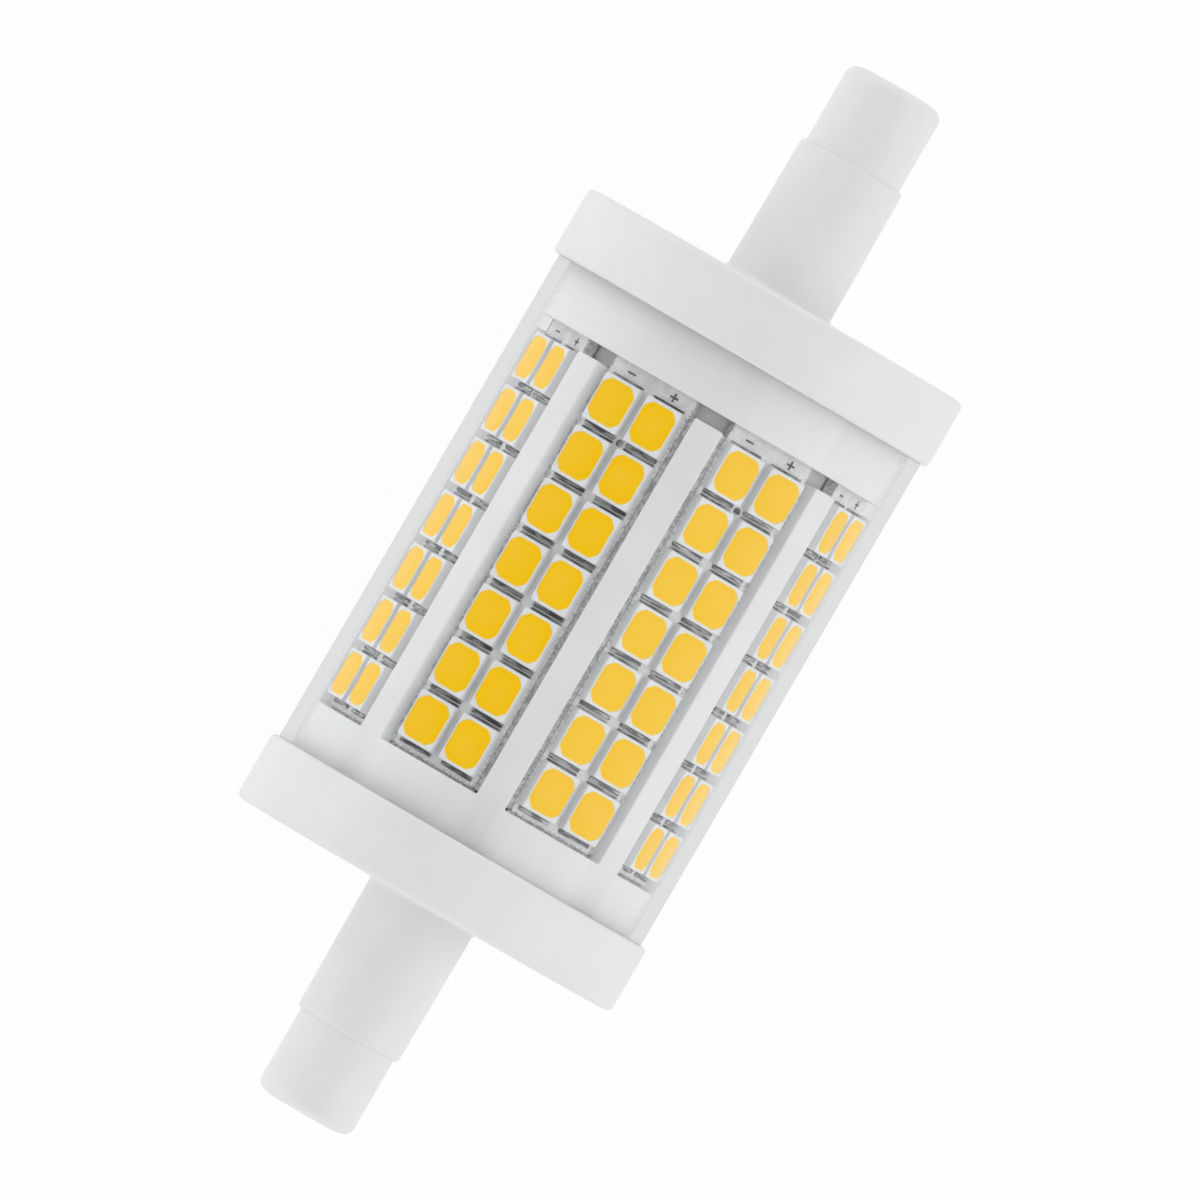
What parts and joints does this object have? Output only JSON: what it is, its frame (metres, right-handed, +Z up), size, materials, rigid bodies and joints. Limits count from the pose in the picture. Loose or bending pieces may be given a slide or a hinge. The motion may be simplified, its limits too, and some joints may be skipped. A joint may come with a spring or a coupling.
{
  "type": "double-ended linear led lamp",
  "caption": "Short linear LED lamp with a recessed contact base at each end and white boards of yellow LEDs around its core under a clear tube.",
  "frame": {"origin": "middle of the lamp's length, on its axis", "axes": "+X along the lamp axis towards the end with the separate collar, +Z up through a rib of the carrier"},
  "size_m": [0.078, 0.0284, 0.0284],
  "materials": {
    "cap_plastic": "satin moulded plastic",
    "carrier_plastic": "satin moulded plastic",
    "clear_plastic": "clear and polished",
    "board_mask": "pale mask on an aluminium core",
    "led_plastic": "white moulded package",
    "phosphor": "yellow phosphor in clear silicone",
    "contact_metal": "nickel plated",
    "lead_sleeve": "silicone sleeve",
    "driver_laminate": "green board",
    "capacitor_sleeve": "dark shrink sleeve",
    "ferrite": "pressed ferrite",
    "resistor_coat": "cement coat",
    "chip_plastic": "black moulded package",
    "tinned_metal": "tinned"
  },
  "bodies": {
    "root": {"board_carrier": "carrier_plastic", "bridge_rectifier": "chip_plastic", "clear_cover": "clear_plastic", "driver_board": "driver_laminate", "driver_chip": "chip_plastic", "fuse_resistor": "resistor_coat", "led_board_1": "board_mask", "led_board_2": "board_mask", "led_board_3": "board_mask", "led_board_4": "board_mask", "led_board_5": "board_mask", "led_board_6": "board_mask", "led_board_7": "board_mask", "led_board_8": "board_mask", "led_packages_1": "led_plastic", "led_packages_2": "led_plastic", "led_packages_3": "led_plastic", "led_packages_4": "led_plastic", "led_packages_5": "led_plastic", "led_packages_6": "led_plastic", "led_packages_7": "led_plastic", "led_packages_8": "led_plastic", "left_contact": "contact_metal", "left_end_cap": "cap_plastic", "left_mains_lead": "lead_sleeve", "link_board": "board_mask", "phosphor_fills_1": "phosphor", "phosphor_fills_2": "phosphor", "phosphor_fills_3": "phosphor", "phosphor_fills_4": "phosphor", "phosphor_fills_5": "phosphor", "phosphor_fills_6": "phosphor", "phosphor_fills_7": "phosphor", "phosphor_fills_8": "phosphor", "retaining_collar": "carrier_plastic", "right_contact": "contact_metal", "right_end_cap": "cap_plastic", "right_mains_lead": "lead_sleeve", "smoothing_capacitor": "capacitor_sleeve", "storage_choke": "ferrite", "supply_pins": "tinned_metal"}
  },
  "joints": []
}
